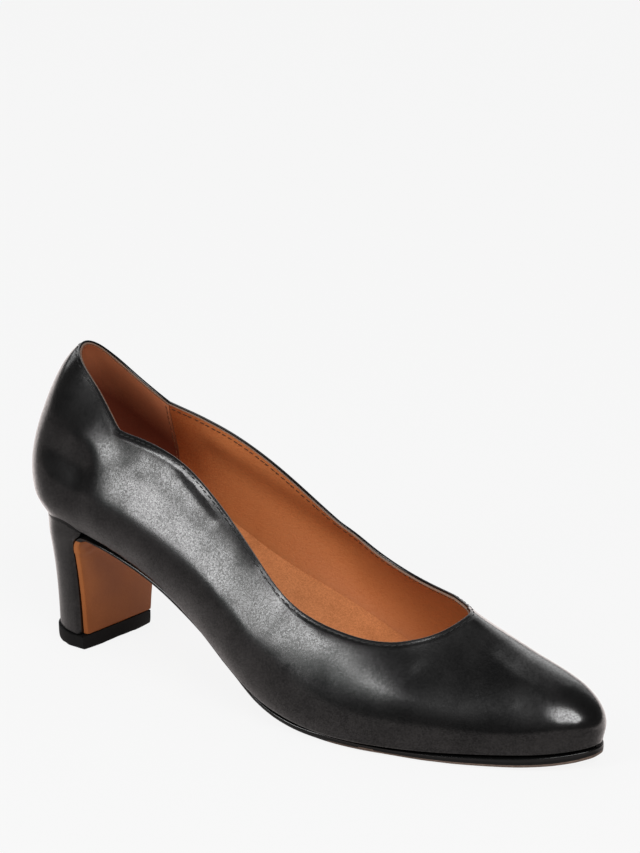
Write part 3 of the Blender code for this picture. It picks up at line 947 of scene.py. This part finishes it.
# %% Rows of stitches
UNEVEN = 0.12
SKEW_SPREAD = math.radians(5)
LINING_SEAM = 1.3 * MM
GRIP_SEAM = 1.0 * MM
GRIP_SEEK = 0.6 * MM
SOCK_AT_GRIP = 50 * MM
hand = np.random.default_rng(4)


def even_points(line, closed):
    """Points and directions along a line, one stitch pitch apart give or take a little."""
    path = np.vstack([line, line[:1]]) if closed else line
    length = np.concatenate([[0], np.cumsum(np.linalg.norm(np.diff(path, axis=0), axis=1))])
    count = round(length[-1] / STITCH_PITCH)
    at = (np.arange(count) + 0.5 + hand.uniform(-UNEVEN, UNEVEN, count)) * length[-1] / count
    points = np.stack([np.interp(at, length, path[:, k]) for k in range(3)], axis=1)
    ahead, behind = (np.clip(at + step, 0, length[-1]) for step in (MM, -MM))
    run = [np.interp(ahead, length, path[:, k]) - np.interp(behind, length, path[:, k]) for k in range(3)]
    along = np.stack(run, axis=1)
    return points, along / np.linalg.norm(along, axis=1)[:, None]


def sew(name, sheet, line, inward, inside, material, closed=True):
    """Row of stitches on a sheet, moved from the line by a distance, roughly in the given direction."""
    points, along = even_points(line, closed)
    verts, faces = [], []
    for point, run in zip(points, along):
        _, spot, normal, _ = sheet.closest_point_on_mesh(Vector(point))
        aside = Vector(run).cross(normal)
        aside *= -1 if aside.dot(inward) < 0 else 1
        _, spot, normal, _ = sheet.closest_point_on_mesh(Vector(point) + inside * aside)
        lie = (Vector(run) - normal * normal.dot(Vector(run))).normalized()
        skew = STITCH_SKEW + hand.uniform(-SKEW_SPREAD, SKEW_SPREAD)
        lie = (lie * math.cos(skew) + normal.cross(lie) * math.sin(skew)).normalized()
        axes = np.array([normal.cross(lie), normal, lie])
        start = len(verts)
        verts.extend(stitch_shape @ axes + np.array(spot))
        faces.extend(tuple(start + v for v in face) for face in stitch_faces)
    mesh = bpy.data.meshes.new(name)
    mesh.from_pydata([tuple(v) for v in verts], [], faces)
    mesh.materials.append(material)
    row = bpy.data.objects.new(name, mesh)
    bpy.context.scene.collection.objects.link(row)
    finish_piece(row)
    return row


DOWN = Vector((0, 0, -1))
_, outer_line, _ = border_line(upper_skin)
sew("topline_thread_outside", upper_skin, outer_line, DOWN, HEM, BLACK_THREAD)
_, inner_line, _ = border_line(lining_skin)
sew("topline_thread_inside", lining_skin, inner_line, DOWN, LINING_SEAM, TAN_THREAD)

cut = read_mesh(grip_skin, "co")
cut = cut[np.abs((cut - np.array(OUTER_NOTCH)) @ np.array(forward)) < GRIP_SEEK]
for side, label in ((-1, "outer"), (1, "inner")):
    edge = cut[cut[:, 1] * side > 0]
    edge = edge[np.argsort(-edge[:, 2])]
    edge = edge[edge[:, 2] > SOCK_AT_GRIP]
    sew(f"grip_thread_{label}", grip_skin, edge, -forward, GRIP_SEAM, SUEDE_THREAD, closed=False)

for helper in (upper_skin, lining_skin, grip_skin):
    bpy.data.objects.remove(helper)

# %% [markdown]
# ## Sock
# The foot stands on a thin tan sock that covers the insole. Its solid has the right bed and
# outline, so it only needs a soft edge: a small bevel, then a subdivision.

# %% Sock
SOCK_BEVEL = 0.4 * MM

sock = copy_solid("insole", "sock")
modify(sock, "BEVEL", width=SOCK_BEVEL, segments=2, limit_method="ANGLE", angle_limit=CORNER_ANGLE)
refine(sock, 2)
sock.data.materials.append(TAN_SOCK)
finish_piece(sock)

# %% [markdown]
# ## Sole
# The sole is one strap of tan leather from the toe to the heel, where it bends down the breast as a
# flap. Its cut edge is painted black and waxed, which hides the layers. The tan face is found as the
# sheet that holds the lowest downward face, and all the rest takes the edge paint, with a polished
# bead along its corners.

# %% Sole
RIM_BEVEL = 0.6 * MM
EDGE_BEVEL = 0.4 * MM
LOOKS_DOWN = 10 * MM
# Paler brown for the rounded lower corner of the edge ahead of the waist.
SOLE_RIM = plain_finish(
    "pale sole rim", (0.10, 0.070, 0.055), (0.16, 0.115, 0.090), 0.45, 0.6, 900, 0.004 * MM, 0.3)

sole = copy_solid("outsole", "sole_leather")
for material in (BLACK_EDGE, SOLE_LEATHER, SOLE_RIM, EDGE_BEAD):
    sole.data.materials.append(material)
ground = min(sole.data.polygons, key=lambda face: face.center.z + LOOKS_DOWN * face.normal.z).index
tread = keep_sheet(copy_piece(sole, "tread"), ground)
refine(tread, 2)
_, tread_line, _ = border_line(tread)
bpy.data.objects.remove(tread)

select_sheet(sole, ground)
sole.active_material_index = 1
bpy.ops.object.material_slot_assign()
bpy.ops.mesh.region_to_loop()
bpy.ops.mesh.bevel(offset=RIM_BEVEL, segments=2, material=0)
bpy.ops.mesh.select_mode(type="EDGE")
bpy.ops.mesh.select_all(action="DESELECT")
bpy.ops.mesh.edges_select_sharp(sharpness=CORNER_ANGLE)
bpy.ops.mesh.bevel(offset=EDGE_BEVEL, segments=3, material=3)
done()
refine(sole, 2)
print("points round the tread:", len(tread_line))

# %% [markdown]
# ## Shape of the sole's edge
# A maker rasps the edge by hand, so it isn't the same all along: its lower corner is rounded most
# at the ball, the wall stands out under the waist and is cut back at the joint, and the toe is a little
# deeper. The flap leans and narrows towards the ground with the heel. Last, the rounded lower corner
# ahead of the waist takes a paler brown finish.

# %% Sole edge
RIM_ROUND = 2.4 * MM
RIM_DEPTH = 0.4 * RIM_ROUND
RIM_AT = np.array([50, 120, 145, 178, 195, 237]) * MM
RIM_FULL = [0.1, 0.3, 1.0, 1.0, 0.35, 0.2]
RIM_FROM = 150 * MM
RIM_NEAR = 0.45
WALL_AT = np.array([25, 40, 80, 90, 100, 108, 117, 127, 136, 146, 156, 168, 180, 192]) * MM
WALL_PUSH = np.array([0, 1.6, 1.3, 0.9, 1.3, 1.0, 1.4, 1.3, 0.8, 0, -0.5, -0.7, -0.4, 0]) * MM
WALL_TURN = 0.7
BREAST_AHEAD = 50 * MM
BREAST_BELOW = 38 * MM
TOE_SOLE_AT = np.array([190, 205, 215, 225, 231, 237]) * MM
TOE_SOLE = np.array([0, 0.35, 0.55, 0.6, 0.5, 0]) * MM
TOP_TURN = 0.3
FLAP_AHEAD = 42 * MM
FLAP_BLEND = 12 * MM
FLAP_TOP = 44 * MM
FLAP_RISE = 6 * MM
FLAP_LEAN = 1.4 * MM
TAPER_OUTER = 1.8 * MM
TAPER_INNER = 0.7 * MM
TAPER_BACK = 0.9 * MM
TAPER_TOP = 52 * MM
TAPER_WIDE = 32 * MM
TAPER_LONG = 25 * MM


def taper(places):
    """Shift of the heel towards the ground: drawn in on the outer side and the back."""
    down = np.clip(1 - places[:, 2] / TAPER_TOP, 0, 1)
    outer = np.clip(0.5 - places[:, 1] / TAPER_WIDE, 0, 1)
    back = np.clip((FLAP_AHEAD + cad_low.x - places[:, 0]) / TAPER_LONG, 0, 1)
    aside = TAPER_OUTER * outer - TAPER_INNER * (1 - outer)
    return np.stack([TAPER_BACK * down * back, aside * down, 0 * down], axis=1)


places, out = read_mesh(sole, "co"), read_mesh(sole, "normal")
station = stations(places)
near = np.clip(1 - distance_to(places, tread_line) / RIM_ROUND, 0, 1)
places -= out * (RIM_DEPTH * near ** 2 * np.interp(station, RIM_AT, RIM_FULL))[:, None]
wall = np.clip(1 - np.abs(out[:, 2]) / WALL_TURN, 0, 1) * np.interp(station, WALL_AT, WALL_PUSH)
wall[(station < BREAST_AHEAD) & (places[:, 2] < BREAST_BELOW)] = 0
places += out * (1, 1, 0) * wall[:, None]
places[:, 0] += toe_reach(places)
places[:, 2] -= np.interp(station, TOE_SOLE_AT, TOE_SOLE) * (out[:, 2] < TOP_TURN)
on_flap = np.clip((FLAP_AHEAD + FLAP_BLEND - station) / FLAP_BLEND, 0, 1)
places[:, 1] += FLAP_LEAN * on_flap * np.clip((FLAP_TOP + FLAP_RISE - places[:, 2]) / FLAP_TOP, 0, 1)
places += taper(places) * on_flap[:, None]
write_mesh(sole, places)
for face in sole.data.polygons:
    at = face.center.x - cad_low.x
    if at < FLAP_AHEAD and face.center.z < FLAP_TOP:
        face.material_index = 1
    elif face.material_index == 0 and at > RIM_FROM and near[list(face.vertices)].mean() > RIM_NEAR:
        face.material_index = 2
finish_piece(sole)

# %% [markdown]
# ## Heel
# A moulded block is covered with the upper's leather, drawn tight, so its corners stay soft. Its top is
# raised into the seat, so that no light shows between them, and it tapers to the ground like the
# flap. Where the cover meets the upper, a narrow band takes the duller black of the sole edge: a
# painted shadow line along the seat.

# %% Heel
SEAT_LIFT = 3.4 * MM
CORNER_ROUND = 1.5 * MM
COVER_BEVEL = 0.7 * MM
UPRIGHT = 0.8
SEAT_SHADOW_WIDE = 0.55 * MM


def select_upright(piece):
    """Select the sharp edges that run up a piece."""
    work = bmesh.new()
    work.from_mesh(piece.data)
    sharp = [e for e in work.edges if e.is_manifold and e.calc_face_angle() > CORNER_ANGLE]
    picked = [e.index for e in sharp if abs((e.verts[0].co - e.verts[1].co).normalized().z) > UPRIGHT]
    work.free()
    edit(piece, "EDGE")
    bpy.ops.mesh.select_all(action="DESELECT")
    done()
    for i in picked:
        piece.data.edges[i].select = True
    edit(piece, "EDGE")
    print("upright corner edges:", len(picked))


heel = copy_solid("heel", "heel_cover")
seat = max(heel.data.polygons, key=lambda face: face.center.z)
select_sheet(heel, seat.index)
bpy.ops.mesh.region_to_loop()
bpy.ops.transform.translate(value=(0, 0, SEAT_LIFT))
done()
select_upright(heel)
bpy.ops.mesh.bevel(offset=CORNER_ROUND, segments=4)
done()
modify(heel, "BEVEL", width=COVER_BEVEL, segments=3, limit_method="ANGLE", angle_limit=CORNER_ANGLE)
refine(heel, 3)
places = read_mesh(heel, "co")
places += taper(places)
write_mesh(heel, places)
heel.data.materials.append(BLACK_HEEL)
heel.data.materials.append(BLACK_EDGE)
# Faces within a hair of the upper take the duller black edge finish: a painted shadow line along the seat.
gap = np.array([(upper.closest_point_on_mesh(Vector(p))[1] - Vector(p)).length for p in places])
for face in heel.data.polygons:
    if gap[list(face.vertices)].mean() < SEAT_SHADOW_WIDE:
        face.material_index = 1
finish_piece(heel)

# %% [markdown]
# ## Top piece
# The rubber top piece is what the heel stands on. It takes half of the heel's taper, so it stands a
# hair proud of the cover, and its front swells to a shallow curve where it meets the ground.

# %% Top piece
LIFT_BEVEL = 0.35 * MM
LIFT_BULGE = 1.7 * MM
LIFT_DEEP = 12 * MM
LIFT_TAPER = 0.5

lift = copy_solid("top_piece", "rubber_top_piece")
modify(lift, "BEVEL", width=LIFT_BEVEL, segments=2, limit_method="ANGLE", angle_limit=CORNER_ANGLE)
refine(lift, 2)
places = read_mesh(lift, "co")
low, high = places.min(axis=0), places.max(axis=0)
ahead = np.clip((places[:, 0] - high[0]) / LIFT_DEEP + 1, 0, 1)
aside = (places[:, 1] - (low[1] + high[1]) / 2) / ((high[1] - low[1]) / 2)
foot = np.clip(1 - places[:, 2] / (high[2] - low[2]), 0, 1)
places[:, 0] += LIFT_BULGE * ahead * (1 - aside ** 2) * foot
write_mesh(lift, places + LIFT_TAPER * taper(places))
lift.data.materials.append(RUBBER)
finish_piece(lift)

# %% [markdown]
# ## Sizes
# Each dressed piece now takes the place of its solid, which is hidden but still there for the
# physics. The growth of the dressed shoe's box over the box of its solids is printed. The
# dressed shoe has to keep the size of its solids.

# %% Sizes
STANDS_FOR = [(upper, "upper"), (sock, "insole"), (sole, "outsole"), (heel, "heel"), (lift, "top_piece")]
for piece, node in STANDS_FOR:
    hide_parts(node)
low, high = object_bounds()
print("grown by mm:", [round((a - b) / MM, 2) for a, b in zip(high - low, cad_high - cad_low)])
